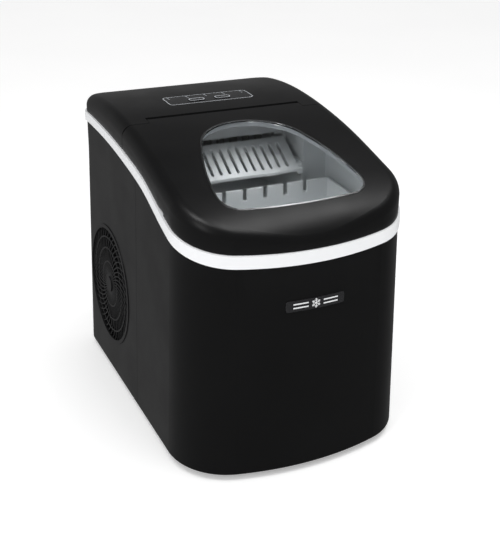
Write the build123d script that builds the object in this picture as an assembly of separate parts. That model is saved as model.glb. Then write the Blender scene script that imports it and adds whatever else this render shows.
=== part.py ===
from build123d import *
import os
from math import atan, cos, degrees, hypot, radians, sin, sqrt, tan

# Countertop ice maker, in millimetres. +Z is up, the front faces -Y, and the origin is on the
# floor under the middle of the object. Two housings, which widen a little to the floor, stand on
# a base pan, a raised band follows an S-curve round them, and a fixed rear deck and a hinged
# front lid close the top.

os.makedirs("parts", exist_ok=True)

# --- driving dimensions -------------------------------------------------------------------
HALF_W = 119.5            # half width of the body
HALF_L = 177.0            # half depth of the body
FRONT_R = 296.0           # large radius of the bowed front
FRONT_CORNER_R = 57.8
REAR_CORNER_R = 27.0
WALL = 2.6                # casing wall
FOOT_H = 6.0
FLARE = 6.2               # the housings stand out this much more at the floor than at FLARE_TOP
FLARE_TOP = 250.0
SKIRT_Z = 6.4             # lower edge of the housings
SKIRT_FILLET = 2.0
FLANGE_Z = 18.0           # underside of the housings' inner flange, which sits on the base pan
PAN_GAP = 0.4
SEAM_Y = -14.0            # front and rear housings meet here
TRIM_PROUD = 2.0
CAP_FILLET = 12.0
PANEL_GAP = 0.4

# side view (y, z) of the lower edge of the band, front to rear
BAND_LOW = [(-183, 222.5), (-126, 236), (-89, 247.5), (-46, 264), (2, 274.5), (54, 281.8), (110, 286), (183, 286.5)]
BAND_H_REAR = 9.5
BAND_H_FRONT = 12.0
# side view (y, z) of the top, front to rear
CAP_LINE = [(-181, 226), (-171, 255), (-146, 270.5), (-100, 285.5), (-40, 301.5), (20, 312.3), (95, 318.5), (183, 309.5)]

# lid hinge: the barrel lies just under the top surface
HINGE_Y = 32.0
HINGE_Z = 308.2
BARREL_R = 6.0
TONGUE_X = 89.0           # half width of the lid's rear tongue
LID_SIDE_Y = 24.0         # rear end of the lid beside the tongue
PIN_R = 2.5

# window
WINDOW_APEX_Y = 4.0
WINDOW_SHOULDER = (57.5, -41.0)
WINDOW_SIDE = (71.0, -86.0)
WINDOW_CORNER = (76.0, -122.0)
WINDOW_FRONT_Y = -146.0
BEZEL_W = 1.6

# control panel on the rear deck
PANEL_Y = 81.0
PANEL_W = 102.0
PANEL_D = 31.0
BUTTON_X = 15.5
BUTTON_Y = 77.0
LIGHT_PITCH = 22.0
LIGHT_Y = 92.0
BOARD_Z = 308.2
BOARD_T = 1.6

# side fan
FAN_Y = 82.0
FAN_Z = 111.0
GRILLE_R = 69.5
GRILLE_PROUD = 0.8
FAN_R = 57.0

# ice unit
TRAY_Y = 66.0
TRAY_Z = 280.0
TRAY_R = 27.0
TRAY_RIM_DEG = 20.0       # each rim of the trough is this far below the pivot
TRAY_HALF_L = 67.0
PIVOT_R = 4.0
FINGERS = 8
FINGER_PITCH = 15.6
FINGER_R = 4.5
SLIDE_SLOPE = 32.0        # slope of the shovel plate, degrees
SHOVEL_FRONT = (-7.0, 250.0)
SHOVEL_RUN = 42.0
SHOVEL_SLOTS = 13
SHOVEL_PITCH = 9.8

# tank and basket
TANK_INSET = 11.5
TANK_WALL = 2.5
TANK_FLOOR = 60.0
SUMP_HALF_W = 82.5        # rear part of the tank, under the ice unit
SUMP_FLOOR = 205.0
SUMP_REAR = 100.5
BASKET_INSET = 17.5
BASKET_X = HALF_W - BASKET_INSET
BASKET_Y = (-162.0, -16.0)
BASKET_Z = 140.0
BASKET_T = 2.4

# cooling unit
COMP = (55.0, 112.0)
COMP_R = 50.0
COND = (-46.0, -12.0, 22.0, 142.0, 50.0, 170.0)
PUMP = (50.0, 44.0)

# rear wall fittings
DRAIN = (-62.0, 42.0)
GLAND = (72.0, 42.0)
FLOOR_Z = 8.6             # top of the base pan's floor


# --- helpers ------------------------------------------------------------------------------
def box(x0, x1, y0, y1, z0, z1):
    """Box given by its two corners."""
    return Pos((x0 + x1) / 2, (y0 + y1) / 2, (z0 + z1) / 2) * Box(x1 - x0, y1 - y0, z1 - z0)


def cyl_x(x0, x1, y, z, r):
    return Pos((x0 + x1) / 2, y, z) * Rot(0, 90, 0) * Cylinder(r, x1 - x0)


def cyl_y(x, y0, y1, z, r):
    return Pos(x, (y0 + y1) / 2, z) * Rot(90, 0, 0) * Cylinder(r, y1 - y0)


def cyl_z(x, y, z0, z1, r):
    return Pos(x, y, (z0 + z1) / 2) * Cylinder(r, z1 - z0)


def round_box(x0, x1, y0, y1, z0, z1, r):
    """Box with rounded upright edges."""
    base = Pos((x0 + x1) / 2, (y0 + y1) / 2, z0) * RectangleRounded(x1 - x0, y1 - y0, r)
    return extrude(base, z1 - z0)


def mirrored(shape):
    """The shape and its mirror image across the middle."""
    return shape + mirror(shape, Plane.YZ)


def across(wire, half_width=130.0):
    """Solid with a closed side view (y, z), centred across x."""
    face = Pos(-half_width, 0, 0) * make_face(Plane.YZ * wire)
    return extrude(face, 2 * half_width, dir=(1, 0, 0))


def side_slab(points, half_width=130.0):
    return across(Polyline(*points, close=True), half_width)


def pipe(points, radius, bend):
    """Round rod along straight runs joined by tangent arcs."""
    path = FilletPolyline(*points, radius=bend)
    section = Plane(origin=path @ 0, z_dir=path % 0) * Circle(radius)
    return sweep(section, path=path)


# --- outer form ---------------------------------------------------------------------------
def outline(inset):
    """Plan outline: bowed front, rounded corners, straight sides and rear."""
    half = HALF_W - inset
    corner_x = HALF_W - FRONT_CORNER_R
    bow_y = -HALF_L + FRONT_R
    reach = FRONT_R - FRONT_CORNER_R
    corner_y = bow_y - sqrt(reach ** 2 - corner_x ** 2)
    corner_r = FRONT_CORNER_R - inset
    ux = corner_x / reach
    uy = (corner_y - bow_y) / reach
    touch = (corner_x + corner_r * ux, corner_y + corner_r * uy)
    mid_len = hypot(ux + 1, uy)
    mid = (corner_x + corner_r * (ux + 1) / mid_len, corner_y + corner_r * uy / mid_len)
    rear = HALF_L - inset
    rear_r = REAR_CORNER_R - inset
    rear_c = (half - rear_r, rear - rear_r)
    bulge = rear_r / sqrt(2)
    wire = ThreePointArc((-touch[0], touch[1]), (0, -HALF_L + inset), touch)
    wire += ThreePointArc(touch, mid, (half, corner_y))
    wire += Line((half, corner_y), (half, rear_c[1]))
    wire += ThreePointArc((half, rear_c[1]), (rear_c[0] + bulge, rear_c[1] + bulge), (rear_c[0], rear))
    wire += Line((rear_c[0], rear), (-rear_c[0], rear))
    wire += ThreePointArc((-rear_c[0], rear), (-rear_c[0] - bulge, rear_c[1] + bulge), (-half, rear_c[1]))
    wire += Line((-half, rear_c[1]), (-half, corner_y))
    wire += ThreePointArc((-half, corner_y), (-mid[0], mid[1]), (-touch[0], touch[1]))
    return make_face(wire)


def prism(inset, z0, z1):
    return extrude(Pos(0, 0, z0) * outline(inset), z1 - z0)


def flare(z):
    return FLARE * max(FLARE_TOP - z, 0) / FLARE_TOP


FLARE_DEG = degrees(atan(FLARE / FLARE_TOP))


def flared(inset, z0, z1):
    """Prism that widens below FLARE_TOP, as the housings do."""
    top = min(z1, FLARE_TOP)
    face = Pos(0, 0, z0) * outline(inset - flare(z0))
    body = extrude(face, top - z0, taper=FLARE_DEG)
    if z1 > FLARE_TOP:
        body += prism(inset, FLARE_TOP, z1)
    return body


def band_height(y):
    """The band is taller round the front than along the rear."""
    share = min(max((54 - y) / 180, 0), 1)
    return BAND_H_REAR + (BAND_H_FRONT - BAND_H_REAR) * share


def under_band(lift, upper=False):
    """Everything below the band's lower or upper edge, raised by lift."""
    points = [(y, z + lift + (band_height(y) if upper else 0)) for y, z in BAND_LOW]
    first = points[0]
    last = points[-1]
    wire = Spline(*points) + Line(last, (last[0], -20)) + Line((last[0], -20), (first[0], -20))
    wire += Line((first[0], -20), first)
    return across(wire)


def cap_line(inset):
    """The top's side view moved inward by inset along its own normals."""
    moved = []
    for i, point in enumerate(CAP_LINE):
        before = CAP_LINE[max(i - 1, 0)]
        after = CAP_LINE[min(i + 1, len(CAP_LINE) - 1)]
        run = (after[0] - before[0], after[1] - before[1])
        length = hypot(*run)
        moved.append((point[0] + inset * run[1] / length, point[1] - inset * run[0] / length))
    return moved


def cap(inset):
    """Solid of the top, from below the band up, with its rounded rim."""
    points = cap_line(inset)
    first = points[0]
    last = points[-1]
    wire = Spline(*points) + Line(last, (last[0], 180)) + Line((last[0], 180), (first[0], 180))
    wire += Line((first[0], 180), first)
    body = prism(inset, 190, 340) & across(wire)
    rim = [e for e in body.edges() if e.center().Z > 215 and not is_upright(e)]
    return fillet(rim, max(CAP_FILLET - inset, 1.5))


def is_upright(edge):
    start = edge @ 0
    end = edge @ 1
    return hypot(end.X - start.X, end.Y - start.Y) < 0.01


CAP_OUT = cap(0)
CAP_IN = cap(WALL)
BELOW_DECK = under_band(0.2, upper=True)
BELOW_LID = under_band(0.6, upper=True)


def lid_zone():
    """Space of the lid: full width in front, with a narrower tongue that ends in the barrel."""
    tongue = box(-TONGUE_X, TONGUE_X, -200, HINGE_Y, 180, 340)
    return box(-130, 130, -200, LID_SIDE_Y, 180, 340) + tongue


def lid_clearance():
    """Space the deck leaves for the lid, its barrel and the swing of its rear edge."""
    half = TONGUE_X + PANEL_GAP
    reach = BARREL_R + PANEL_GAP
    barrel = cyl_x(-half, half, HINGE_Y, HINGE_Z, reach)
    swing = box(-half, half, -200, HINGE_Y + reach, HINGE_Z, 340)
    return box(-130, 130, -200, LID_SIDE_Y + 0.8, 180, 340) + swing + barrel


# --- casing -------------------------------------------------------------------------------
def housing_shell():
    """Whole lower casing before it is split at the seam."""
    outer = flared(0, SKIRT_Z, 305)
    bottom = [e for e in outer.edges() if e.center().Z < SKIRT_Z + 0.1]
    outer = fillet(bottom, SKIRT_FILLET)
    shell = outer - flared(WALL, FLANGE_Z + WALL, 310) - flared(WALL, 0, FLANGE_Z) - prism(10, 5, 40)
    return shell & under_band(-0.2)


HOUSING = housing_shell()


def front_housing():
    body = HOUSING & box(-130, 130, -190, SEAM_Y - 0.3, 0, 310)
    tongue = flared(WALL - 0.1, 24, 300) - flared(WALL + 2, 20, 305)
    inner = flared(WALL + 0.2, 24, 300) - flared(WALL + 2, 20, 305)
    lip = (tongue & box(-130, 130, SEAM_Y - 8, SEAM_Y - 0.3, 0, 310)) + (inner & box(-130, 130, SEAM_Y - 0.3, SEAM_Y + 8, 0, 310))
    return body + (lip & under_band(-4))


def vent_slots(x0, x1, y0, y1, rows, z0, pitch, height):
    cut = None
    for i in range(rows):
        z = z0 + i * pitch
        one = box(x0, x1, y0, y1, z, z + height)
        cut = one if cut is None else cut + one
    return cut


def on_left_wall(shape):
    """Moves a shape drawn about the origin onto the flared left wall at the fan, its +Z pointing in."""
    return Pos(-HALF_W - flare(FAN_Z), FAN_Y, FAN_Z) * Rot(0, 90 + FLARE_DEG, 0) * shape


def rear_housing():
    body = HOUSING & box(-130, 130, SEAM_Y + 0.1, 190, 0, 310)
    body -= on_left_wall(Pos(0, 0, 5) * Cylinder(GRILLE_R - 1.2, 24))
    body -= vent_slots(112, 130, 40, 84, 10, 60, 11, 5)
    body -= vent_slots(112, 130, 92, 136, 10, 60, 11, 5)
    body -= vent_slots(-66, -6, 170, 190, 8, 90, 11, 5)
    body -= vent_slots(6, 66, 170, 190, 8, 90, 11, 5)
    body += flared(0.5, 10, 90) & box(-98, 98, HALF_L - WALL, 190, 19, 69)
    body -= box(-95, 95, HALF_L, 190, 22, 66)
    recess = cyl_y(DRAIN[0], 163, HALF_L - 1, DRAIN[1], 19)
    pocket = cyl_y(DRAIN[0], 165.6, 182, DRAIN[1], 16.4)
    body = body + recess - pocket
    body -= cyl_y(DRAIN[0], 150, 170, DRAIN[1], 8.1)
    body -= cyl_y(GLAND[0], 165, 185, GLAND[1], 8.1)
    return body


def base_pan():
    inset = WALL + PAN_GAP - flare(FLANGE_Z)
    pan = prism(inset, FOOT_H, FLANGE_Z - 0.1) - prism(inset + WALL, FLOOR_Z, FLANGE_Z + 5)
    for y in (-60, 0, 60, 120):
        pan += box(-106, 106, y - 1.2, y + 1.2, FLOOR_Z - 0.5, FLOOR_Z + 3)
    return pan


def feet():
    group = None
    for x in (-88, 88):
        for y in (-118, 140):
            foot = cyl_z(x, y, 0, FOOT_H, 11)
            foot = chamfer(foot.edges().sort_by(Axis.Z)[0], 1.2)
            group = foot if group is None else group + foot
    return group


def trim_ring():
    ring = prism(-TRIM_PROUD, 200, 310) - prism(3.5, 190, 320)
    return ring & under_band(0, upper=True) - under_band(0)


def plate_over_panel(inset):
    face = Pos(0, PANEL_Y, 280) * RectangleRounded(PANEL_W - 2 * inset, PANEL_D - 2 * inset, 6 - inset)
    return extrude(face, 60)


def button_column(x, inset):
    face = Pos(x, BUTTON_Y, 290) * RectangleRounded(19 - 2 * inset, 9 - 2 * inset, 4 - inset)
    return extrude(face, 50)


CAP_PANEL = cap(0.9)


def top_deck():
    rear_zone = box(-130, 130, -200, 200, 170, 345) - lid_clearance()
    shell = ((CAP_OUT - CAP_IN) & rear_zone) - BELOW_DECK
    inside = CAP_IN & box(-TONGUE_X - 3.6, TONGUE_X + 3.6, LID_SIDE_Y + 0.8, 41.4, 294, 340)
    walls = inside - box(-TONGUE_X - 0.6, TONGUE_X + 0.6, 0, 39, 290, 340)
    deck = shell + walls
    deck -= cyl_x(-TONGUE_X - 8, TONGUE_X + 8, HINGE_Y, HINGE_Z, PIN_R)
    deck -= (CAP_OUT - CAP_PANEL) & plate_over_panel(0)
    for x in (-BUTTON_X, BUTTON_X):
        deck -= button_column(x, -PANEL_GAP)
    for i in range(-2, 3):
        deck -= cyl_z(i * LIGHT_PITCH, LIGHT_Y, 300, 330, 1.6)
    for x in (-44, 44):
        for y in (64, 99):
            deck += cyl_z(x, y, BOARD_Z + BOARD_T, 330, 3.2) & CAP_IN
            deck -= cyl_z(x, y, BOARD_Z, BOARD_Z + BOARD_T + 4, 1.3)
    return deck


def control_panel():
    film = (CAP_OUT - CAP_PANEL) & plate_over_panel(0.2)
    film &= CAP_FILM
    for x in (-BUTTON_X, BUTTON_X):
        film -= button_column(x, -PANEL_GAP)
    for i in range(-2, 3):
        film -= cyl_z(i * LIGHT_PITCH, LIGHT_Y, 300, 330, 1.6)
    return film


CAP_FILM = cap(0.2)
CAP_PROUD = cap(-0.5)


def button(x):
    key = (CAP_PROUD & button_column(x, 0)) - box(-130, 130, 0, 150, 280, 313.4)
    return key + cyl_z(x, BUTTON_Y, 313.2, 315, 2.2)


def indicator_lights():
    group = None
    for i in range(-2, 3):
        pipe_one = CAP_OUT & cyl_z(i * LIGHT_PITCH, LIGHT_Y, BOARD_Z + BOARD_T, 330, 1.5)
        group = pipe_one if group is None else group + pipe_one
    return group


def control_board():
    board = box(-48, 48, 60, 102, BOARD_Z, BOARD_Z + BOARD_T)
    for x in (-44, 44):
        for y in (64, 99):
            board -= cyl_z(x, y, 300, 320, 1.6)
    for x in (-BUTTON_X, BUTTON_X):
        board += box(x - 3, x + 3, BUTTON_Y - 3, BUTTON_Y + 3, BOARD_Z + BOARD_T, 311.6)
    board += box(-8, 8, 62, 70, BOARD_Z + BOARD_T, BOARD_Z + BOARD_T + 1.6)
    board += box(24, 40, 83, 90, BOARD_Z + BOARD_T, BOARD_Z + BOARD_T + 1.2)
    return board


def board_screws():
    group = None
    for x in (-44, 44):
        for y in (64, 99):
            one = cyl_z(x, y, BOARD_Z - 1.6, BOARD_Z, 2.6) + cyl_z(x, y, BOARD_Z - 0.4, BOARD_Z + 5, 1.3)
            group = one if group is None else group + one
    return group


# --- lid ----------------------------------------------------------------------------------
def window_face(grow):
    """Arched window outline, larger by grow."""
    apex = (0, WINDOW_APEX_Y + grow)
    shoulder = (WINDOW_SHOULDER[0] + 0.85 * grow, WINDOW_SHOULDER[1] + 0.5 * grow)
    side = (WINDOW_SIDE[0] + grow, WINDOW_SIDE[1])
    corner = (WINDOW_CORNER[0] + grow, WINDOW_CORNER[1])
    front_corner = (60, WINDOW_FRONT_Y + 3 - grow)
    bend = (WINDOW_CORNER[0] - 4.5 + 0.7 * grow, WINDOW_FRONT_Y + 10 - 0.7 * grow)
    wire = ThreePointArc((-shoulder[0], shoulder[1]), apex, shoulder)
    wire += ThreePointArc(shoulder, side, corner)
    wire += ThreePointArc(corner, bend, front_corner)
    wire += ThreePointArc(front_corner, (0, WINDOW_FRONT_Y - grow), (-front_corner[0], front_corner[1]))
    wire += ThreePointArc((-front_corner[0], front_corner[1]), (-bend[0], bend[1]), (-corner[0], corner[1]))
    wire += ThreePointArc((-corner[0], corner[1]), (-side[0], side[1]), (-shoulder[0], shoulder[1]))
    return make_face(wire)


def window_column(grow):
    return extrude(Pos(0, 0, 200) * window_face(grow), 140)


CAP_SEAT = cap(3.2)
CAP_LINER = cap(7)
CAP_LINER_IN = cap(9)


def lid_shell():
    side_relief = cyl_x(-130, 130, HINGE_Y, HINGE_Z, 9.3) - box(-TONGUE_X, TONGUE_X, 0, 60, 280, 330)
    skin = ((CAP_OUT - CAP_IN) & lid_zone()) - BELOW_LID - side_relief
    barrel = cyl_x(-TONGUE_X + 0.2, TONGUE_X - 0.2, HINGE_Y, HINGE_Z, BARREL_R) & CAP_OUT
    rib = box(-TONGUE_X + 0.2, TONGUE_X - 0.2, HINGE_Y - 9, HINGE_Y, HINGE_Z, 330) & CAP_OUT
    lid = skin + barrel + rib - window_column(BEZEL_W + 0.1)
    for side in (-1, 1):
        x0, x1 = sorted((side * (TONGUE_X - 14), side * (TONGUE_X + 1)))
        lid -= cyl_x(x0, x1, HINGE_Y, HINGE_Z, PIN_R + 0.06)
    grip = box(-125, 125, -95, -73, 230, 262)
    return lid - (grip & under_band(3.4, upper=True))


def hinge_pins():
    return mirrored(cyl_x(TONGUE_X - 12, TONGUE_X + 3.6, HINGE_Y, HINGE_Z, PIN_R))


def lid_window():
    return (CAP_OUT - CAP_SEAT) & window_column(-0.1)


def window_bezel():
    ring = window_column(BEZEL_W) - window_column(0)
    return (CAP_PROUD - CAP_SEAT) & ring


def lid_liner():
    skin = (CAP_LINER - CAP_LINER_IN) & box(-130, 130, -200, 16, 190, 340)
    skin = skin - window_column(6) - under_band(1.6, upper=True)
    collar = (CAP_SEAT - CAP_LINER_IN) & (window_column(8) - window_column(3))
    return skin + collar - under_band(1.6, upper=True)


def front_badge():
    """Generic plate with a snowflake between two bars, standing just off the front."""
    plate_z = 182.0
    zone = extrude(Plane.XZ * Pos(0, plate_z) * RectangleRounded(62, 11, 2.5), 200)
    return (flared(-0.9, 170, 195) - flared(0, 165, 200)) & zone


# --- tank, basket and drain -----------------------------------------------------------------
def tank_plan(extra):
    """Front basin and rear sump of the tank, extra wider all round."""
    basin = prism(TANK_INSET - extra, 40, 330) & box(-130, 130, -190, 2.5 + extra, 40, 330)
    return basin, box(-80 - extra, 80 + extra, -5, 98 + extra, 40, 330)


def inner_tank():
    basin_out, sump_out = tank_plan(TANK_WALL)
    basin_in, sump_in = tank_plan(0)
    outer = basin_out - box(-200, 200, -200, 200, 0, TANK_FLOOR)
    outer += sump_out - box(-200, 200, -200, 200, 0, SUMP_FLOOR)
    inner = basin_in - box(-200, 200, -200, 200, 0, TANK_FLOOR + TANK_WALL)
    inner += sump_in - box(-200, 200, -200, 200, 0, SUMP_FLOOR + TANK_WALL)
    tank = (outer & under_band(5.5)) - inner
    flange = prism(3.6, 200, 310) & box(-130, 130, -190, 38.4, 200, 310)
    flange = (flange & under_band(5.5)) - under_band(3) - inner
    tank += flange
    for x in (-80, 80):
        for y in (-140, -32):
            tank += round_box(x - 6, x + 6, y - 6, y + 6, TANK_FLOOR + 1, BASKET_Z - 0.05, 3)
    tank -= cyl_x(-90, 90, TRAY_Y, TRAY_Z, 5.5)
    tank -= cyl_x(78, 90, 46.5, 279, 3.1)
    for x, z in ((8, 74), (DRAIN[0], 70)):
        tank += cyl_y(x, 4, 14, z, 4)
        tank -= cyl_y(x, 0, 16, z, 2.6)
    return tank


def tank_insulation():
    foam = prism(5, 46, 300) & box(-130, 130, -190, 2.4, 0, 310)
    foam = foam & under_band(-5)
    hole = prism(TANK_INSET - TANK_WALL - 0.2, TANK_FLOOR - 0.2, 310)
    return foam - hole


def ice_basket():
    y0, y1 = BASKET_Y
    floor = BASKET_Z + BASKET_T
    outer = prism(BASKET_INSET, BASKET_Z, 250) & box(-130, 130, -190, y1, 130, 260)
    inner = prism(BASKET_INSET + BASKET_T, floor, 260) & box(-130, 130, -190, y1 - BASKET_T, floor, 260)
    side = [(y0, BASKET_Z), (y1, BASKET_Z), (y1, 240), (y1 - 40, 238), (y0, 221)]
    basket = (outer & side_slab(side)) - inner
    drain_holes = None
    for i in range(-8, 9):
        for y in (-140, -120, -100, -80, -60, -40):
            hole = Pos(i * 10, y, BASKET_Z - 1) * SlotOverall(14, 4, rotation=90)
            hole = extrude(hole, 6)
            drain_holes = hole if drain_holes is None else drain_holes + hole
    basket -= drain_holes
    for i in range(-3, 4):
        basket -= box(i * 24 - 2.6, i * 24 + 2.6, y1 - 10, y1 + 5, 228, 250)
    for y in (-132, -108, -84, -60, -36):
        basket -= box(-110, 110, y - 2.5, y + 2.5, 160, 208)
    grips = mirrored(round_box(BASKET_X - 1, BASKET_X + 4.5, -104, -68, 214, 218, 2))
    return basket + grips


def drain_spout():
    spout = cyl_y(DRAIN[0], 150, 165.6, DRAIN[1], 8) + cyl_y(DRAIN[0], 165.6, 172, DRAIN[1], 7)
    return spout - cyl_y(DRAIN[0], 140, 180, DRAIN[1], 4)


def drain_seal():
    ring = cyl_y(DRAIN[0], 166, 168, DRAIN[1], 10) - cyl_y(DRAIN[0], 160, 175, DRAIN[1], 7.4)
    return ring


def drain_cap():
    body = cyl_y(DRAIN[0], 168.4, 178.2, DRAIN[1], 13) - cyl_y(DRAIN[0], 160, 174.5, DRAIN[1], 7.5)
    plug = cyl_y(DRAIN[0], 166, 175, DRAIN[1], 3.7)
    cap_solid = body + plug
    for i in range(12):
        turn = Rot(0, 30 * i, 0)
        notch = Pos(DRAIN[0], 0, DRAIN[1]) * (turn * cyl_y(13.6, 167, 180, 0, 1.5))
        cap_solid -= notch
    return cap_solid


def drain_hose():
    x = DRAIN[0]
    tube = pipe([(x, 14, 70), (x, 32, 70), (x, 32, DRAIN[1]), (x, 150, DRAIN[1])], 5.5, 8)
    return tube


# --- ice unit -----------------------------------------------------------------------------
def mechanism_frame():
    side = box(75.5, 78.5, -2, 97, 207.5, 303.8) - box(70, 82, -10, 41.4, 256, 320)
    frame = mirrored(side)
    frame += box(-78.5, 78.5, 95, 97.2, 207.5, 303.8)
    frame += box(-78.5, 78.5, -2, 1, 207.5, 214)
    rails = mirrored(box(71.8, 75.6, -2, 62, 241.6, 244.6) + box(71.8, 75.6, -2, 62, 250.4, 253.4))
    frame += rails
    frame -= cyl_x(-90, 90, TRAY_Y, TRAY_Z, PIVOT_R + 0.06)
    frame -= cyl_x(-90, 90, 58, 292, 3.6)
    frame -= cyl_x(70, 90, 46.5, 279, 3.1)
    return frame


def evaporator():
    bar = box(-62, 62, 57, 75, 285, 295)
    bar = fillet(bar.edges().filter_by(Axis.X), 3)
    bar += cyl_x(-97, 97, 58, 292, 3.5)
    for i in range(FINGERS):
        x = (i - (FINGERS - 1) / 2) * FINGER_PITCH
        finger = cyl_z(x, TRAY_Y, 262, 287, FINGER_R) + Pos(x, TRAY_Y, 262) * Sphere(FINGER_R)
        bar += finger
    return bar


def evaporator_cover():
    cover = box(-79.4, 79.4, 41.6, 97.2, 304, 305.4)
    return cover + box(-75, 75, 41.6, 42.9, 279.6, 304.2)


def trough_section(radius):
    """Part of a disc about the pivot, below the rims of the trough."""
    disc = cyl_x(-TRAY_HALF_L, TRAY_HALF_L, TRAY_Y, TRAY_Z, radius)
    rim = TRAY_Z - TRAY_R * sin(radians(TRAY_RIM_DEG))
    return disc & box(-200, 200, 0, 130, 230, rim)


def water_tray():
    rim = TRAY_Z - TRAY_R * sin(radians(TRAY_RIM_DEG))
    trough = trough_section(TRAY_R) - trough_section(TRAY_R - 2)
    end = cyl_x(TRAY_HALF_L - 0.5, TRAY_HALF_L + 2.5, TRAY_Y, TRAY_Z, TRAY_R) & box(0, 200, 0, 130, 230, rim)
    end += box(TRAY_HALF_L, TRAY_HALF_L + 2.5, TRAY_Y - 5, TRAY_Y + 5, rim - 2, TRAY_Z)
    end += cyl_x(TRAY_HALF_L, TRAY_HALF_L + 2.5, TRAY_Y, TRAY_Z, 6)
    tray = trough + mirrored(end)
    tray += mirrored(cyl_x(TRAY_HALF_L + 2, 79.5, TRAY_Y, TRAY_Z, PIVOT_R))
    return tray + cyl_x(79, 88, TRAY_Y, TRAY_Z, PIVOT_R)


def tray_coupling():
    return cyl_x(83.3, 90.5, TRAY_Y, TRAY_Z, 6.6) - cyl_x(80, 88, TRAY_Y, TRAY_Z, PIVOT_R)


def tray_motor():
    body = round_box(88.5, 112, 62.6, 94, 264, 296, 3)
    body -= cyl_x(87, 91, TRAY_Y, TRAY_Z, 7.2)
    return body + cyl_x(111, 114.5, 78, 280, 9)


def motor_bracket():
    plate = box(82.5, 84.5, 62.4, 95, 262, 298) - cyl_x(80, 90, TRAY_Y, TRAY_Z, 7.6)
    return plate + box(84.4, 88.5, 90, 95, 262, 298) + box(84.4, 88.5, 73, 90, 262, 265.5)


def ice_shovel():
    front_y, front_z = SHOVEL_FRONT
    rise = SHOVEL_RUN * tan(radians(SLIDE_SLOPE))
    drop = 2.4 / cos(radians(SLIDE_SLOPE))
    rear_y = front_y + SHOVEL_RUN
    top = [(front_y, front_z), (rear_y, front_z + rise)]
    plate = side_slab(top + [(rear_y, front_z + rise - drop), (front_y, front_z - drop)], 71.3)
    for i in range(SHOVEL_SLOTS):
        x = (i - (SHOVEL_SLOTS - 1) / 2) * SHOVEL_PITCH
        slot = Pos(x, front_y + 20, 230) * SlotOverall(31, 3.6, rotation=90)
        plate -= extrude(slot, 60)
    cheek = side_slab(top + [(rear_y, 245), (front_y, 245)], 71.3) - box(-68.3, 68.3, -20, 60, 230, 290)
    runner = mirrored(box(71.2, 75.1, front_y, rear_y, 245, 250))
    return plate + cheek + runner


def water_nozzle():
    return cyl_x(64, 92, 46.5, 279, 3) - cyl_x(60, 95, 46.5, 279, 1.8)


# --- water pump ---------------------------------------------------------------------------
def water_pump():
    x, y = PUMP
    volute = cyl_z(x, y, 25, 42, 17) - cyl_z(x, y, 28, 39, 12.5)
    can = cyl_z(x, y, 41.5, 74, 14.5)
    inlet = cyl_x(x - 28, x - 16, y, 33, 4) - cyl_x(x - 30, x - 10, y, 33, 2.6)
    outlet = cyl_x(x + 15.5, x + 28, y + 2.5, 33, 4) - cyl_x(x + 10, x + 30, y + 2.5, 33, 2.6)
    pump = volute + can + inlet + outlet - cyl_z(x, y, 30, 60, 2.06)
    return pump - cyl_x(x - 30, x - 10, y, 33, 2.6) - cyl_x(x + 10, x + 30, y + 2.5, 33, 2.6)


def pump_impeller():
    x, y = PUMP
    wheel = cyl_z(x, y, 29, 30.5, 11.4) + cyl_z(x, y, 29, 58, 2)
    wheel += cyl_z(x, y, 30, 37, 3.5)
    for i in range(6):
        vane = Rot(0, 0, 60 * i) * box(3, 11.2, -0.6, 0.6, 30, 37)
        wheel += Pos(x, y, 0) * vane
    return wheel


def pump_bracket():
    x, y = PUMP
    foot = box(x - 19, x + 19, y - 15, y + 13, FLOOR_Z + 3.1, FLOOR_Z + 5.5)
    post = cyl_z(x, y, FLOOR_Z + 5, 25, 9)
    legs = box(x - 19, x - 16, y - 15, y + 13, FLOOR_Z, FLOOR_Z + 4)
    legs += box(x + 16, x + 19, y - 15, y + 13, FLOOR_Z, FLOOR_Z + 4)
    return foot + post + legs


def inlet_hose():
    return pipe([(8, 14, 74), (8, 44, 74), (8, 44, 33), (22, 44, 33)], 4.5, 9)


def outlet_hose():
    y = PUMP[1] + 2.5
    return pipe([(78, y, 33), (102, y, 33), (102, y, 279), (92, y, 279)], 4.5, 8)


# --- cooling unit ---------------------------------------------------------------------------
def compressor():
    x, y = COMP
    shell = cyl_z(x, y, 18, 138, COMP_R)
    shell = fillet(shell.edges().filter_by(GeomType.CIRCLE), 22)
    weld = cyl_z(x, y, 84, 88, COMP_R + 1.5)
    plate = round_box(x - 44, x + 44, y - 44, y + 44, 15, 18.5, 12)
    for dx in (-36, 36):
        for dy in (-36, 36):
            plate -= cyl_z(x + dx, y + dy, 10, 20, 5)
    stubs = cyl_z(40, 130, 130, 140, 3.6) + cyl_z(80, 100, 130, 140, 4)
    return shell + weld + plate + stubs


def compressor_mounts():
    group = None
    for dx in (-36, 36):
        for dy in (-36, 36):
            x, y = COMP[0] + dx, COMP[1] + dy
            one = cyl_z(x, y, FLOOR_Z, 15, 8) + cyl_z(x, y, 14, 20, 5) + cyl_z(x, y, 18.5, 21.5, 7)
            one -= cyl_z(x, y, 0, 30, 2.5)
            group = one if group is None else group + one
    return group


def compressor_bolts():
    group = None
    for dx in (-36, 36):
        for dy in (-36, 36):
            x, y = COMP[0] + dx, COMP[1] + dy
            one = cyl_z(x, y, FLOOR_Z, 24, 2.5) + cyl_z(x, y, 21.5, 24.5, 4.5)
            group = one if group is None else group + one
    return group


def terminal_cover():
    cover = round_box(88, 113, 60, 86, 66, 112, 4)
    return cover - cyl_z(*COMP, 0, 200, COMP_R + 1.6)


def condenser_coil():
    """Serpentine from the discharge line down to the drier."""
    x = (COND[0] + COND[1]) / 2
    near, far = 32, 130
    rows = 6
    points = [(x, far, 172)]
    for row in range(rows):
        z = 162 - row * 21.6
        start, end = (far, near) if row % 2 == 0 else (near, far)
        points += [(x, start, z), (x, end, z)]
    points[-1] = (x, 152, 54)
    points += [(-2, 152, 54), (-2, 152, 66)]
    return pipe(points, 3, 7)


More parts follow.
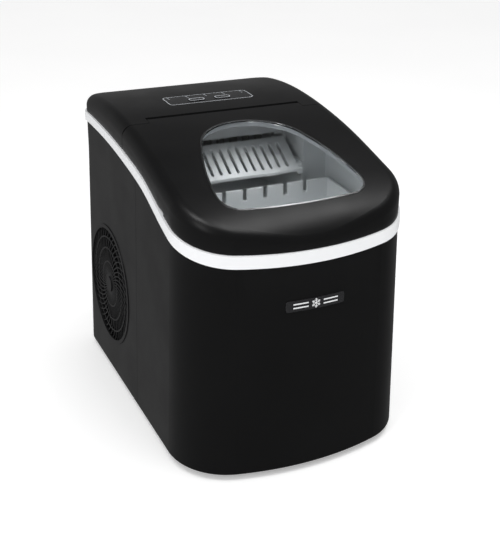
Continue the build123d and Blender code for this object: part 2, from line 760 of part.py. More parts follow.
def condenser_fins():
    x0, x1, y0, y1, z0, z1 = COND
    group = None
    count = 25
    for i in range(count):
        y = y0 + 10 + i * (y1 - y0 - 20) / (count - 1)
        fin = box(x0, x1, y - 0.4, y + 0.4, z0, z1)
        group = fin if group is None else group + fin
    for z in (z0 - 2, z1):
        group += box(x0, x1, y0 + 8, y1 - 8, z, z + 2)
    return group


def filter_drier():
    drier = cyl_z(-2, 152, 66, 136, 8)
    return fillet(drier.edges().filter_by(GeomType.CIRCLE), 5)


def capillary_tube():
    return pipe([(-2, 152, 136), (-2, 152, 194), (-104, 152, 194), (-104, 58, 194), (-104, 58, 292), (-97, 58, 292)],
                1.4, 6)


def discharge_line():
    return pipe([(40, 130, 140), (40, 130, 188), (-29, 130, 188), (-29, 130, 172)], 3, 10)


def suction_line():
    return pipe([(97, 58, 292), (108, 58, 292), (108, 58, 190), (80, 100, 190), (80, 100, 140)], 3.5, 9)


def hot_gas_valve():
    body = round_box(-4, 14, 121, 139, 180, 196, 3)
    return body + cyl_z(5, 130, 195.5, 203, 7) - cyl_x(-10, 20, 130, 188, 3)


def fan_shroud():
    plate = box(-84.5, -82.5, 14, 150, 40, 180) - cyl_x(-90, -80, FAN_Y, FAN_Z, 59.5)
    ring = cyl_x(-104, -82.5, FAN_Y, FAN_Z, 62) - cyl_x(-110, -80, FAN_Y, FAN_Z, 59.5)
    feet_pads = box(-84.5, -76, 20, 40, 38, 42) + box(-84.5, -76, 124, 144, 38, 42)
    legs = box(-84.5, -82.5, 20, 40, FLOOR_Z, 42) + box(-84.5, -82.5, 124, 144, FLOOR_Z, 42)
    return plate + ring + feet_pads + legs


def fan_bracket():
    arms = box(-82.5, -80, FAN_Y - 64, FAN_Y + 64, FAN_Z - 6, FAN_Z + 6)
    arms += box(-82.5, -80, FAN_Y - 6, FAN_Y + 6, FAN_Z - 64, FAN_Z + 64)
    arms += cyl_x(-82.5, -80, FAN_Y, FAN_Z, 25)
    return arms - cyl_x(-90, -70, FAN_Y, FAN_Z, 6)


def fan_motor():
    can = cyl_x(-80, -54, FAN_Y, FAN_Z, 22)
    can = fillet(can.edges().filter_by(GeomType.CIRCLE), 3)
    can += cyl_x(-82.5, -79.5, FAN_Y, FAN_Z, 5.8)
    return can - cyl_x(-90, -66, FAN_Y, FAN_Z, 3.06)


def fan_blade():
    """Hub with seven twisted blades, each a tilted plate trimmed to the sweep."""
    hub = cyl_x(-101, -87, FAN_Y, FAN_Z, 17)
    hub = fillet(hub.edges().sort_by(Axis.X)[0], 4)
    fan = hub + cyl_x(-101 + 10, -67, FAN_Y, FAN_Z, 3)
    sweep_zone = cyl_x(-102, -86, FAN_Y, FAN_Z, FAN_R) - cyl_x(-110, -80, FAN_Y, FAN_Z, 16)
    for i in range(7):
        plate = Pos(-94, FAN_Y, FAN_Z) * Rot(360 / 7 * i, 0, 0) * Pos(0, 0, 37) * Rot(0, 0, 32) * Box(1.8, 30, 50)
        fan += plate & sweep_zone
    return fan


def grille_rib(angle):
    """One thin rib that leaves the hub radially and bends as it runs out."""
    points = []
    for offset in (-1.0, 1.0):
        row = []
        for share in (0, 0.5, 1):
            radius = 10 + 56.5 * share
            turn = radians(angle + 26 * share ** 2) + offset * 0.7 / radius
            row.append((radius * cos(turn), radius * sin(turn)))
        points.append(row)
    low, high = points
    wire = ThreePointArc(*low) + Line(low[2], high[2]) + ThreePointArc(high[2], high[1], high[0]) + Line(high[0], low[0])
    return make_face(wire)


def exhaust_grille():
    ribs = [grille_rib(i * 360 / 44) for i in range(44)]
    rings = [Circle(r + 0.8) - Circle(r - 0.8) for r in (26, 42, 55)]
    face = Circle(11.5) + ribs + rings
    web = extrude(face, 3.2)
    rim = extrude(Circle(GRILLE_R) - Circle(GRILLE_R - 4.2), GRILLE_PROUD)
    lug = extrude(Circle(GRILLE_R - 1.4) - Circle(GRILLE_R - 4.2), 9)
    grille = rim + lug + Pos(0, 0, 1.2) * web + extrude(Circle(9), 4.4)
    return on_left_wall(Pos(0, 0, -GRILLE_PROUD) * grille)


# --- electrics ------------------------------------------------------------------------------
def electrical_box():
    body = round_box(-74, 74, 114, 168, 207, 262, 4) - round_box(-72, 72, 116, 166, 209, 270, 3)
    lid = round_box(-74, 74, 114, 168, 262, 264, 4)
    return body + lid


def main_board():
    board = box(-68, 40, 119, 163, 213, 214.6)
    board += box(-60, -44, 124, 140, 214.5, 232)
    board += cyl_z(-30, 132, 214.5, 236, 6) + cyl_z(-14, 132, 214.5, 230, 5)
    board += box(2, 22, 124, 152, 214.5, 230)
    for x in (-60, -20, 32):
        board += cyl_z(x, 158, 209, 214, 2.5)
    return board


def transformer():
    core = box(46, 68, 122, 156, 209, 243)
    return core + box(43.5, 70, 128, 150, 214, 238)


def cord_gland():
    gland = cyl_y(GLAND[0], 171, 178.6, GLAND[1], 8) + cyl_y(GLAND[0], 177, 178.8, GLAND[1], 11)
    gland += cyl_y(GLAND[0], 166, 174.3, GLAND[1], 8)
    return gland - cyl_y(GLAND[0], 160, 185, GLAND[1], 3.8)


# --- build ----------------------------------------------------------------------------------
NODES = {
    "front_housing": front_housing,
    "rear_housing": rear_housing,
    "base_pan": base_pan,
    "feet": feet,
    "trim_ring": trim_ring,
    "top_deck": top_deck,
    "control_panel": control_panel,
    "power_button": lambda: button(-BUTTON_X),
    "select_button": lambda: button(BUTTON_X),
    "indicator_lights": indicator_lights,
    "control_board": control_board,
    "board_screws": board_screws,
    "lid_shell": lid_shell,
    "hinge_pins": hinge_pins,
    "lid_window": lid_window,
    "window_bezel": window_bezel,
    "lid_liner": lid_liner,
    "front_badge": front_badge,
    "inner_tank": inner_tank,
    "tank_insulation": tank_insulation,
    "ice_basket": ice_basket,
    "drain_spout": drain_spout,
    "drain_seal": drain_seal,
    "drain_cap": drain_cap,
    "drain_hose": drain_hose,
    "mechanism_frame": mechanism_frame,
    "evaporator": evaporator,
    "evaporator_cover": evaporator_cover,
    "water_tray": water_tray,
    "tray_coupling": tray_coupling,
    "tray_motor": tray_motor,
    "motor_bracket": motor_bracket,
    "ice_shovel": ice_shovel,
    "water_nozzle": water_nozzle,
    "water_pump": water_pump,
    "pump_impeller": pump_impeller,
    "pump_bracket": pump_bracket,
    "inlet_hose": inlet_hose,
    "outlet_hose": outlet_hose,
    "compressor": compressor,
    "compressor_mounts": compressor_mounts,
    "compressor_bolts": compressor_bolts,
    "terminal_cover": terminal_cover,
    "condenser_coil": condenser_coil,
    "condenser_fins": condenser_fins,
    "filter_drier": filter_drier,
    "capillary_tube": capillary_tube,
    "discharge_line": discharge_line,
    "suction_line": suction_line,
    "hot_gas_valve": hot_gas_valve,
    "fan_shroud": fan_shroud,
    "fan_bracket": fan_bracket,
    "fan_motor": fan_motor,
    "fan_blade": fan_blade,
    "exhaust_grille": exhaust_grille,
    "electrical_box": electrical_box,
    "main_board": main_board,
    "transformer": transformer,
    "cord_gland": cord_gland,
}

for name, make in NODES.items():
    export_step(make(), f"parts/{name}.step")
    print(name)
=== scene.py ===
from math import cos, pi, radians, sin, tau

import bmesh
import bpy
from bpy.props import FloatProperty, FloatVectorProperty, PointerProperty
from mathutils import Matrix, Vector
from mathutils.bvhtree import BVHTree


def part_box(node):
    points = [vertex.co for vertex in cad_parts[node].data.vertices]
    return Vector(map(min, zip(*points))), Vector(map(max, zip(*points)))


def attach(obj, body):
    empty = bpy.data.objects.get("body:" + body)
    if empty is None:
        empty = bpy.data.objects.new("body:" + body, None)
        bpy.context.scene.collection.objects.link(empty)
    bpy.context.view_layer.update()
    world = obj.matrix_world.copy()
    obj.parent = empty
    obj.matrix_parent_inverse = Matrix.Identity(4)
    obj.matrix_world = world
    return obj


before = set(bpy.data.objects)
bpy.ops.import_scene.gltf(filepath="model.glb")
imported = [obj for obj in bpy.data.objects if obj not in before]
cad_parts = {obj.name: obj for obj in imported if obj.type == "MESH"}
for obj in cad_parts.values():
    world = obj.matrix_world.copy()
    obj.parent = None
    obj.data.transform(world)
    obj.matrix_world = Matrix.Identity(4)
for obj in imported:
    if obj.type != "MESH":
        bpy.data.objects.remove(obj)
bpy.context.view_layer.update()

bl_info = {
    "name": "Countertop Ice Maker",
    "version": (1, 0, 0),
    "blender": (4, 5, 0),
    "location": "View3D > Sidebar > Ice Maker",
    "description": "Finishes, printed marks and small fittings of a countertop ice maker",
    "category": "Add Mesh",
}

MM = 0.001
ABOVE_ALL = 0.34  # start height of rays cast down onto the deck

PANEL_INSET = 1.2 * MM
PANEL_CORNER = 5.4 * MM
KEY_INSET = 1.0 * MM
KEY_CORNER = 3.4 * MM
KEY_LINE_SHARE = 1.2
LIGHT_COUNT = 5
LIGHT_END = 1.5 * MM  # from the end of the light pipe to the middle of its first light
MARK_DROP = 4.6 * MM
MARK_SIZE = (2.4 * MM, 0.8 * MM, 0.35 * MM)  # width, depth, corner radius

FLAKE_ARM = 0.62 * MM
FLAKE_TWIG = 0.5 * MM
BADGE_GAP = 3.6 * MM
BADGE_ROW = 1.9 * MM
BADGE_LINE = 1.3 * MM


# --- settings -----------------------------------------------------------------------------
def colour(label, description, value):
    return FloatVectorProperty(
        name=label, description=description, subtype="COLOR", size=3, min=0, max=1, default=value
    )


def length(label, description, value):
    return FloatProperty(
        name=label, description=description, unit="LENGTH", default=value, min=0, precision=5
    )


def angle(label, description, degrees):
    return FloatProperty(
        name=label, description=description, subtype="ANGLE", default=radians(degrees)
    )


class IceMakerFinish(bpy.types.PropertyGroup):
    """Colours of the casing, the inside and the working parts."""

    casing: colour("Casing", "Satin black of the housings, deck and lid", (0.0046, 0.0046, 0.0049))
    vents: colour("Vents", "Black of the grille, fan and gland", (0.0075, 0.0075, 0.008))
    band: colour("Band", "White of the band round the body", (0.80, 0.81, 0.83))
    inside: colour("Inside", "White of the tank, basket and ice unit", (0.80, 0.82, 0.83))
    liner: colour("Lid liner", "Grey of the lid's inner frame", (0.42, 0.44, 0.46))
    print_ink: colour("Print", "Pale ink of the printed marks", (0.55, 0.57, 0.60))
    copper: colour("Copper", "Refrigerant lines", (0.72, 0.33, 0.17))
    foam: colour("Foam", "Insulation round the tank", (0.78, 0.72, 0.52))
    board: colour("Circuit board", "Solder mask of the boards", (0.015, 0.13, 0.05))


class IceMakerSizes(bpy.types.PropertyGroup):
    """Sizes of the printed marks and the badge."""

    print_line: length("Printed line", "Width of the printed outlines", 0.8 * MM)
    print_height: length("Ink height", "How far the ink stands off the panel", 0.06 * MM)
    badge_bar: length("Badge bar", "Length of each bar beside the snowflake", 15 * MM)
    flake_size: length("Snowflake", "Width of the snowflake", 9.4 * MM)


class IceMakerStage(bpy.types.PropertyGroup):
    """Floor, light and camera."""

    distance: length("Camera distance", "From the aim point", 1.0418)
    focal: FloatProperty(name="Focal length", description="Lens in millimetres", default=64.05, min=10)
    azimuth: angle("Azimuth", "Camera turn from the front", -24.5)
    elevation: angle("Elevation", "Camera height angle", 21.3)
    aim_height: length("Aim height", "Height of the aim point", 0.2064)
    shift_x: FloatProperty(name="Shift X", description="Sideways lens shift", default=0.0234)
    shift_y: FloatProperty(name="Shift Y", description="Upright lens shift", default=-0.102)
    roll: angle("Roll", "Camera roll", 0.4)


def finish():
    return bpy.context.scene.ice_maker_finish


def sizes():
    return bpy.context.scene.ice_maker_sizes


def stage_settings():
    return bpy.context.scene.ice_maker_stage


# --- materials ----------------------------------------------------------------------------
class Shader:
    """Short way to build a node material round one Principled shader."""

    def __init__(self, name, base, roughness, metallic=0.0, **sockets):
        self.material = bpy.data.materials.new(name)
        self.material.use_nodes = True
        self.tree = self.material.node_tree
        self.body = self.tree.nodes["Principled BSDF"]
        self.body.inputs["Base Color"].default_value = (*base, 1)
        self.body.inputs["Roughness"].default_value = roughness
        self.body.inputs["Metallic"].default_value = metallic
        for key, value in sockets.items():
            self.body.inputs[key.replace("_", " ")].default_value = value
        self.base = base
        self.place = self.node("ShaderNodeTexCoord").outputs["Object"]

    def node(self, kind, **values):
        made = self.tree.nodes.new(kind)
        for key, value in values.items():
            setattr(made, key, value)
        return made

    def link(self, out, into):
        self.tree.links.new(out, into)

    def noise(self, scale, detail=3, stretch=(1, 1, 1)):
        mapping = self.node("ShaderNodeMapping")
        mapping.inputs["Scale"].default_value = stretch
        self.link(self.place, mapping.inputs["Vector"])
        texture = self.node("ShaderNodeTexNoise")
        texture.inputs["Scale"].default_value = scale
        texture.inputs["Detail"].default_value = detail
        self.link(mapping.outputs["Vector"], texture.inputs["Vector"])
        return texture.outputs["Fac"]

    def ramp(self, value, low, high):
        """Value spread from low to high."""
        spread = self.node("ShaderNodeMapRange")
        spread.inputs["From Min"].default_value = 0.3
        spread.inputs["From Max"].default_value = 0.7
        spread.inputs["To Min"].default_value = low
        spread.inputs["To Max"].default_value = high
        self.link(value, spread.inputs["Value"])
        return spread.outputs["Result"]

    def rough(self, value, low, high):
        self.link(self.ramp(value, low, high), self.body.inputs["Roughness"])

    def tint(self, value, other):
        """Base colour wanders between the base and another colour."""
        mix = self.node("ShaderNodeMix", data_type="RGBA")
        mix.inputs["A"].default_value = (*self.base, 1)
        mix.inputs["B"].default_value = (*other, 1)
        self.link(self.ramp(value, 0, 1), mix.inputs["Factor"])
        self.link(mix.outputs["Result"], self.body.inputs["Base Color"])

    def bump(self, value, depth, strength=1.0):
        bump = self.node("ShaderNodeBump")
        bump.inputs["Distance"].default_value = depth
        bump.inputs["Strength"].default_value = strength
        self.link(value, bump.inputs["Height"])
        self.link(bump.outputs["Normal"], self.body.inputs["Normal"])

    def paler_edges(self, amount, colour_at_edge):
        """Paler colour on sharp convex edges and corners, found by pointiness."""
        edge = self.node("ShaderNodeNewGeometry").outputs["Pointiness"]
        spread = self.node("ShaderNodeMapRange")
        spread.inputs["From Min"].default_value = 0.52
        spread.inputs["From Max"].default_value = 0.62
        spread.inputs["To Max"].default_value = amount
        self.link(edge, spread.inputs["Value"])
        mix = self.node("ShaderNodeMix", data_type="RGBA")
        source = self.body.inputs["Base Color"]
        if source.links:
            self.link(source.links[0].from_socket, mix.inputs["A"])
        else:
            mix.inputs["A"].default_value = (*self.base, 1)
        mix.inputs["B"].default_value = (*colour_at_edge, 1)
        self.link(spread.outputs["Result"], mix.inputs["Factor"])
        self.link(mix.outputs["Result"], source)


def moulded(name, base, rough, grain=0.012 * MM, grain_scale=2600.0, other=None):
    """Moulded plastic with a fine spark-eroded grain and a slow drift in gloss."""
    made = Shader(name, base, rough, IOR=1.5)
    slow = made.noise(22, 3)
    made.rough(slow, rough - 0.035, rough + 0.035)
    made.tint(made.noise(9, 2), other or tuple(c * 1.18 for c in base))
    made.bump(made.noise(grain_scale, 2), grain, 0.5)
    # paler colour on sharp convex edges and corners
    made.paler_edges(0.35, tuple(min(c * 1.6 + 0.004, 1) for c in base))
    return made


def brushed(name, base, rough, stretch=(1, 1, 40)):
    """Metal with fine lines drawn along one way."""
    made = Shader(name, base, rough, 1.0)
    lines = made.noise(420, 4, stretch)
    made.rough(lines, rough - 0.06, rough + 0.1)
    made.tint(lines, tuple(c * 0.8 for c in base))
    made.bump(lines, 0.02 * MM, 0.4)
    return made


def dress(material, *nodes):
    """Puts a material on CAD nodes."""
    for name in nodes:
        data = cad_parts[name].data
        data.materials.clear()
        data.materials.append(material)


# --- mesh helpers -------------------------------------------------------------------------
def piece_from(bm, name, material, body):
    """Makes the object of a finished bmesh, riding on a body."""
    bmesh.ops.remove_doubles(bm, verts=bm.verts, dist=0.001 * MM)
    bmesh.ops.recalc_face_normals(bm, faces=bm.faces)
    mesh = bpy.data.meshes.new(name)
    bm.to_mesh(mesh)
    bm.free()
    mesh.materials.append(material)
    piece = bpy.data.objects.new(name, mesh)
    bpy.context.scene.collection.objects.link(piece)
    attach(piece, body)


def skin_of(*nodes):
    """Ray target made of CAD nodes, for laying marks on their surface."""
    bm = bmesh.new()
    for name in nodes:
        bm.from_mesh(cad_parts[name].data)
    tree = BVHTree.FromBMesh(bm)
    bm.free()
    return tree


def lay_on(bm, tree, way, height):
    """Moves every vertex along way onto the skin and lifts it off by height."""
    way = Vector(way)
    for vert in bm.verts:
        hit = tree.ray_cast(vert.co, way)[0]
        if hit is None:
            raise ValueError("a mark misses the surface it belongs on")
        vert.co = hit - way * height


def rounded_rectangle(bm, centre, width, depth, radius, corner=6):
    """Flat rounded rectangle: a circle whose quarters are pulled apart."""
    made = bmesh.ops.create_circle(bm, cap_ends=True, radius=radius, segments=4 * corner)
    verts = made["verts"]
    half_step = Matrix.Rotation(pi / (4 * corner), 3, "Z")
    bmesh.ops.rotate(bm, verts=verts, cent=(0, 0, 0), matrix=half_step)
    for vert in verts:
        vert.co.x += (width / 2 - radius) * (1 if vert.co.x > 0 else -1)
        vert.co.y += (depth / 2 - radius) * (1 if vert.co.y > 0 else -1)
    bmesh.ops.translate(bm, verts=verts, vec=centre)
    return list({face for vert in verts for face in vert.link_faces})


def outline_only(bm, faces, line):
    """Keeps a thin frame round each face."""
    rim = bmesh.ops.inset_region(
        bm, faces=faces, thickness=line, use_boundary=True, use_even_offset=True
    )
    keep = set(rim["faces"])
    bmesh.ops.delete(bm, geom=[face for face in bm.faces if face not in keep], context="FACES")


def cut_long_edges(bm, longest):
    """Divides edges until none is longer than longest, so that a mark can follow a curve."""
    while True:
        long_edges = [edge for edge in bm.edges if edge.calc_length() > longest]
        if not long_edges:
            return
        bmesh.ops.subdivide_edges(bm, edges=long_edges, cuts=1, use_grid_fill=True)


# --- finishes of the CAD nodes --------------------------------------------------------------
class ICEMAKER_OT_casing(bpy.types.Operator):
    """Satin black finish of the housings, deck, lid and base"""

    bl_idname = "ice_maker.casing"
    bl_label = "Casing finish"

    def execute(self, context):
        black = moulded("satin_black", tuple(finish().casing), 0.36)
        black.body.inputs["Specular IOR Level"].default_value = 0.42
        dress(black.material, "front_housing", "rear_housing", "top_deck", "lid_shell")
        base = moulded("base_black", tuple(finish().vents), 0.5, 0.02 * MM, 1500)
        dress(base.material, "base_pan")
        return {"FINISHED"}


class ICEMAKER_OT_band(bpy.types.Operator):
    """White band that follows the S-curve round the body"""

    bl_idname = "ice_maker.band"
    bl_label = "White band"

    def execute(self, context):
        drift = (0.76, 0.78, 0.80)
        white = moulded("band_white", tuple(finish().band), 0.3, 0.006 * MM, 2200, drift)
        dress(white.material, "trim_ring")
        return {"FINISHED"}


class ICEMAKER_OT_vents(bpy.types.Operator):
    """Side grille, fan, shroud and rear fittings"""

    bl_idname = "ice_maker.vents"
    bl_label = "Vents and fan"

    def execute(self, context):
        black = moulded("vent_black", tuple(finish().vents), 0.42, 0.02 * MM, 1700)
        dress(black.material, "exhaust_grille", "fan_shroud", "fan_bracket", "cord_gland")
        dress(black.material, "terminal_cover", "water_pump")
        blade = moulded("blade_black", (0.013, 0.013, 0.014), 0.3)
        dress(blade.material, "fan_blade")
        return {"FINISHED"}


class ICEMAKER_OT_window(bpy.types.Operator):
    """Clear window, its bright bezel and the liner under it"""

    bl_idname = "ice_maker.window"
    bl_label = "Window and lid liner"

    def execute(self, context):
        clear = Shader("window_clear", (0.93, 0.95, 0.96), 0.03, Transmission_Weight=1.0, IOR=1.45)
        clear.rough(clear.noise(30, 2), 0.015, 0.06)
        dress(clear.material, "lid_window")
        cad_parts["lid_window"].visible_shadow = False
        bright = brushed("bezel_silver", (0.80, 0.81, 0.83), 0.16, (1, 1, 6))
        dress(bright.material, "window_bezel")
        grey = moulded("liner_grey", tuple(finish().liner), 0.34, 0.01 * MM, 1800)
        dress(grey.material, "lid_liner")
        return {"FINISHED"}


class ICEMAKER_OT_panel(bpy.types.Operator):
    """Control film, keys, light pipes and badge plate"""

    bl_idname = "ice_maker.panel"
    bl_label = "Control panel"

    def execute(self, context):
        film = moulded("panel_film", (0.010, 0.010, 0.011), 0.26, 0.004 * MM, 3200)
        dress(film.material, "control_panel", "power_button", "select_button")
        lamp = Shader("light_pipe", (0.30, 0.32, 0.34), 0.2, Transmission_Weight=0.3)
        lamp.rough(lamp.noise(600, 2), 0.15, 0.3)
        dress(lamp.material, "indicator_lights")
        plate = moulded("badge_plate", (0.016, 0.016, 0.017), 0.22, 0.003 * MM, 3000)
        dress(plate.material, "front_badge")
        return {"FINISHED"}


class ICEMAKER_OT_print(bpy.types.Operator):
    """Printed outline of the panel, outlines of the keys and marks by the lights"""

    bl_idname = "ice_maker.print"
    bl_label = "Panel print"

    def execute(self, context):
        ink = Shader("panel_ink", tuple(finish().print_ink), 0.45)
        ink.tint(ink.noise(900, 2), tuple(c * 0.8 for c in finish().print_ink))
        keys = ("power_button", "select_button")
        tree = skin_of("top_deck", "control_panel", *keys, "indicator_lights")
        line = sizes().print_line
        frames = [("control_panel", "panel_outline", "cabinet", PANEL_INSET, PANEL_CORNER, line, 2.5 * MM)]
        for name in keys:
            frames.append(
                (name, name + "_outline", name, KEY_INSET, KEY_CORNER, line * KEY_LINE_SHARE, 2.0 * MM)
            )
        for node, name, body, inset, corner_radius, width, longest in frames:
            low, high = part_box(node)
            centre, size = (low + high) / 2, high - low
            bm = bmesh.new()
            border = rounded_rectangle(
                bm, (centre.x, centre.y, ABOVE_ALL), size.x - inset, size.y - inset, corner_radius
            )
            outline_only(bm, border, width)
            cut_long_edges(bm, longest)
            lay_on(bm, tree, (0, 0, -1), sizes().print_height)
            piece_from(bm, name, ink.material, body)

        low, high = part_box("indicator_lights")
        row_y = (low.y + high.y) / 2
        bm = bmesh.new()
        for step in range(LIGHT_COUNT):
            x = low.x + LIGHT_END + step * (high.x - low.x - 2 * LIGHT_END) / (LIGHT_COUNT - 1)
            rounded_rectangle(bm, (x, row_y - MARK_DROP, ABOVE_ALL), *MARK_SIZE, corner=3)
        cut_long_edges(bm, 2.0 * MM)
        lay_on(bm, tree, (0, 0, -1), sizes().print_height)
        piece_from(bm, "light_marks", ink.material, "cabinet")
        return {"FINISHED"}


class ICEMAKER_OT_badge(bpy.types.Operator):
    """Snowflake between pairs of bars on the front plate"""

    bl_idname = "ice_maker.badge"
    bl_label = "Front badge"

    def bar(self, bm, start, end, width):
        """Flat stroke from start to end in the plane of the front."""
        run = end - start
        made = bmesh.ops.create_grid(bm, x_segments=1, y_segments=1, size=0.5)["verts"]
        bmesh.ops.scale(bm, verts=made, vec=(run.length + width * 0.5, width, 1))
        heading = Matrix.Rotation(run.angle_signed(Vector((1, 0))), 3, "Z")
        bmesh.ops.rotate(bm, verts=made, cent=(0, 0, 0), matrix=heading)
        middle = (start + end) / 2
        bmesh.ops.translate(bm, verts=made, vec=(middle.x, middle.y, 0))

    def execute(self, context):
        low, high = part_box("front_badge")
        centre = (low + high) / 2
        reach = sizes().flake_size / 2
        bm = bmesh.new()
        for arm in range(6):
            turn = Matrix.Rotation(arm * tau / 6 + pi / 2, 2)
            tip = turn @ Vector((reach, 0))
            self.bar(bm, Vector((0, 0)), tip, FLAKE_ARM)
            for share, spread in ((0.45, 0.36), (0.72, 0.24)):
                for side in (-1, 1):
                    knee = turn @ Vector((reach * share, 0))
                    out, aside = share + spread * 0.6, side * spread * 0.8
                    twig = turn @ Vector((reach * out, reach * aside))
                    self.bar(bm, knee, twig, FLAKE_TWIG)
        for side in (-1, 1):
            for row in (-1, 1):
                inner = Vector((side * (reach + BADGE_GAP), row * BADGE_ROW))
                outer = inner + Vector((side * sizes().badge_bar, 0))
                self.bar(bm, inner, outer, BADGE_LINE)
        cut_long_edges(bm, 2.0 * MM)
        upright = Matrix.Rotation(pi / 2, 3, "X")
        bmesh.ops.rotate(bm, verts=bm.verts, cent=(0, 0, 0), matrix=upright)
        bmesh.ops.translate(bm, verts=bm.verts, vec=(centre.x, low.y - 10 * MM, centre.z))
        lay_on(bm, skin_of("front_badge"), (0, 1, 0), sizes().print_height)
        white = Shader("badge_white", (0.82, 0.83, 0.84), 0.35)
        white.tint(white.noise(900, 2), (0.74, 0.75, 0.76))
        piece_from(bm, "badge_snowflake", white.material, "cabinet")
        return {"FINISHED"}


class ICEMAKER_OT_inside(bpy.types.Operator):
    """White tank, basket, ice unit and foam"""

    bl_idname = "ice_maker.inside"
    bl_label = "Inside finishes"

    def execute(self, context):
        drift = (0.75, 0.78, 0.79)
        white = moulded("inside_white", tuple(finish().inside), 0.38, 0.012 * MM, 1500, drift)
        dress(white.material, "inner_tank", "ice_basket", "mechanism_frame")
        dress(white.material, "evaporator_cover", "water_tray", "ice_shovel")
        small = moulded("fitting_white", (0.72, 0.74, 0.75), 0.42)
        dress(small.material, "tray_coupling", "water_nozzle", "pump_impeller")
        dress(small.material, "electrical_box", "drain_spout")
        foam = Shader("foam_beige", tuple(finish().foam), 0.9)
        foam.tint(foam.noise(70, 5), (0.66, 0.58, 0.38))
        foam.bump(foam.noise(520, 6), 0.5 * MM)
        dress(foam.material, "tank_insulation")
        nickel = brushed("nickel_plate", (0.74, 0.73, 0.70), 0.22, (30, 1, 1))
        dress(nickel.material, "evaporator")
        return {"FINISHED"}


class ICEMAKER_OT_works(bpy.types.Operator):
    """Compressor, lines, motors, hoses, boards and fasteners"""

    bl_idname = "ice_maker.works"
    bl_label = "Working parts"

    def execute(self, context):
        copper = brushed("copper_line", tuple(finish().copper), 0.28, (1, 1, 12))
        copper.tint(copper.noise(60, 4), (0.46, 0.20, 0.11))
        dress(copper.material, "condenser_coil", "filter_drier", "capillary_tube")
        dress(copper.material, "discharge_line", "suction_line")
        steel = brushed("zinc_steel", (0.58, 0.59, 0.60), 0.34)
        dress(steel.material, "tray_motor", "motor_bracket", "fan_motor", "pump_bracket", "hot_gas_valve")
        dress(steel.material, "board_screws", "compressor_bolts", "hinge_pins")
        fins = brushed("fin_aluminium", (0.78, 0.79, 0.80), 0.3, (1, 30, 1))
        dress(fins.material, "condenser_fins")
        paint = moulded("compressor_paint", (0.012, 0.012, 0.013), 0.3, 0.05 * MM, 420)
        dress(paint.material, "compressor")
        rubber = moulded("black_rubber", (0.022, 0.022, 0.023), 0.72, 0.04 * MM, 900)
        dress(rubber.material, "feet", "drain_seal", "drain_cap", "compressor_mounts")
        tube = moulded("hose_silicone", (0.45, 0.47, 0.48), 0.45)
        dress(tube.material, "drain_hose", "inlet_hose", "outlet_hose")
        mask = moulded("board_green", tuple(finish().board), 0.3, 0.02 * MM, 800)
        dress(mask.material, "control_board", "main_board")
        core = brushed("lamination", (0.32, 0.27, 0.22), 0.5, (1, 1, 60))
        dress(core.material, "transformer")
        return {"FINISHED"}


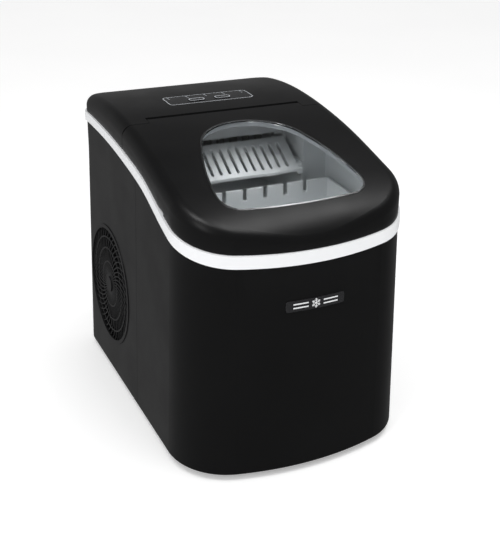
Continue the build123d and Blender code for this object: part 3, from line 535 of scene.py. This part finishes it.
# --- stage --------------------------------------------------------------------------------
class ICEMAKER_OT_stage(bpy.types.Operator):
    """Pale floor, soft lights and the camera"""

    bl_idname = "ice_maker.stage"
    bl_label = "Stage, light and camera"

    def area(self, name, place, aim, size, power):
        """Soft rectangular lamp at place, facing aim."""
        lamp = bpy.data.lights.new(name, "AREA")
        lamp.shape = "RECTANGLE"
        lamp.size, lamp.size_y = size
        lamp.energy = power
        holder = bpy.data.objects.new(name, lamp)
        holder.location = place
        facing = Vector(aim) - Vector(place)
        holder.rotation_euler = facing.to_track_quat("-Z", "Y").to_euler()
        holder.visible_camera = False
        bpy.context.scene.collection.objects.link(holder)

    def studio(self, context):
        """White room for soft light; glossy surfaces mirror a pale wall and a dark ceiling."""
        world = bpy.data.worlds.new("studio")
        world.use_nodes = True
        tree = world.node_tree
        room = tree.nodes["Background"]
        room.inputs["Color"].default_value = (1, 1, 1, 1)
        room.inputs["Strength"].default_value = 0.75
        direction = tree.nodes.new("ShaderNodeTexCoord").outputs["Generated"]
        parts = tree.nodes.new("ShaderNodeSeparateXYZ")
        tree.links.new(direction, parts.inputs["Vector"])
        wall = tree.nodes.new("ShaderNodeMapRange")
        for key, value in (("From Min", -0.3), ("From Max", 0.85), ("To Min", 0.09), ("To Max", 0.26)):
            wall.inputs[key].default_value = value
        tree.links.new(parts.outputs["Y"], wall.inputs["Value"])
        ceiling = tree.nodes.new("ShaderNodeMapRange")
        for key, value in (("From Min", 0.3), ("From Max", 0.6), ("To Min", 1.0), ("To Max", 0.15)):
            ceiling.inputs[key].default_value = value
        tree.links.new(parts.outputs["Z"], ceiling.inputs["Value"])
        gloss = tree.nodes.new("ShaderNodeMath")
        gloss.operation = "MULTIPLY"
        tree.links.new(wall.outputs["Result"], gloss.inputs[0])
        tree.links.new(ceiling.outputs["Result"], gloss.inputs[1])
        mirrored = tree.nodes.new("ShaderNodeBackground")
        tree.links.new(gloss.outputs["Value"], mirrored.inputs["Strength"])
        mix = tree.nodes.new("ShaderNodeMixShader")
        tree.links.new(tree.nodes.new("ShaderNodeLightPath").outputs["Is Glossy Ray"], mix.inputs["Fac"])
        tree.links.new(room.outputs["Background"], mix.inputs[1])
        tree.links.new(mirrored.outputs["Background"], mix.inputs[2])
        tree.links.new(mix.outputs["Shader"], tree.nodes["World Output"].inputs["Surface"])
        context.scene.world = world
        context.scene.view_settings.view_transform = "Standard"

    def execute(self, context):
        bm = bmesh.new()
        bmesh.ops.create_grid(bm, x_segments=1, y_segments=1, size=20)
        mesh = bpy.data.meshes.new("floor")
        bm.to_mesh(mesh)
        bm.free()
        floor = bpy.data.objects.new("floor", mesh)
        context.scene.collection.objects.link(floor)
        pale = Shader("floor_pale", (0.92, 0.92, 0.92), 0.6)
        pale.tint(pale.noise(3, 2), (0.90, 0.90, 0.90))
        pale.body.inputs["Emission Color"].default_value = (1, 1, 1, 1)
        pale.body.inputs["Emission Strength"].default_value = 0.3
        mesh.materials.append(pale.material)
        floor.visible_glossy = False

        self.studio(context)
        self.area("overhead", (0.3, -0.34, 1.4), (0, -0.12, 0.25), (1.3, 0.4), 6)
        self.area("left_strip", (-1.25, -0.75, 0.75), (0, -0.05, 0.2), (0.35, 0.8), 2)
        self.area("over_window", (-0.5, -0.3, 1.3), (0, -0.05, 0.2), (0.4, 0.4), 3)

        settings = stage_settings()
        az, el = settings.azimuth, settings.elevation
        back = Vector((sin(az) * cos(el), -cos(az) * cos(el), sin(el)))
        camera_data = bpy.data.cameras.new("camera")
        camera_data.lens = settings.focal
        camera_data.sensor_width = 36
        camera_data.shift_x = settings.shift_x
        camera_data.shift_y = settings.shift_y
        camera = bpy.data.objects.new("camera", camera_data)
        camera.location = Vector((0, 0, settings.aim_height)) + back * settings.distance
        turn = back.to_track_quat("Z", "Y").to_matrix() @ Matrix.Rotation(settings.roll, 3, "Z")
        camera.rotation_euler = turn.to_euler()
        context.scene.collection.objects.link(camera)
        context.scene.camera = camera
        return {"FINISHED"}


class ICEMAKER_PT_panel(bpy.types.Panel):
    """Lists the steps and the settings in the sidebar"""

    bl_label = "Ice Maker"
    bl_idname = "ICEMAKER_PT_panel"
    bl_space_type = "VIEW_3D"
    bl_region_type = "UI"
    bl_category = "Ice Maker"

    def draw(self, context):
        for step in STEPS:
            self.layout.operator(step.bl_idname)
        for settings in (finish(), sizes(), stage_settings()):
            box = self.layout.box()
            for key in settings.__annotations__:
                box.prop(settings, key)


STEPS = (
    ICEMAKER_OT_casing,
    ICEMAKER_OT_band,
    ICEMAKER_OT_vents,
    ICEMAKER_OT_window,
    ICEMAKER_OT_panel,
    ICEMAKER_OT_print,
    ICEMAKER_OT_badge,
    ICEMAKER_OT_inside,
    ICEMAKER_OT_works,
    ICEMAKER_OT_stage,
)
GROUPS = (IceMakerFinish, IceMakerSizes, IceMakerStage)


def register():
    for cls in GROUPS + STEPS + (ICEMAKER_PT_panel,):
        bpy.utils.register_class(cls)
    bpy.types.Scene.ice_maker_finish = PointerProperty(type=IceMakerFinish)
    bpy.types.Scene.ice_maker_sizes = PointerProperty(type=IceMakerSizes)
    bpy.types.Scene.ice_maker_stage = PointerProperty(type=IceMakerStage)


def unregister():
    del bpy.types.Scene.ice_maker_stage
    del bpy.types.Scene.ice_maker_sizes
    del bpy.types.Scene.ice_maker_finish
    for cls in reversed(GROUPS + STEPS + (ICEMAKER_PT_panel,)):
        bpy.utils.unregister_class(cls)


def main():
    register()
    for step in STEPS:
        group, name = step.bl_idname.split(".")
        getattr(getattr(bpy.ops, group), name)()


if __name__ == "__main__":
    main()
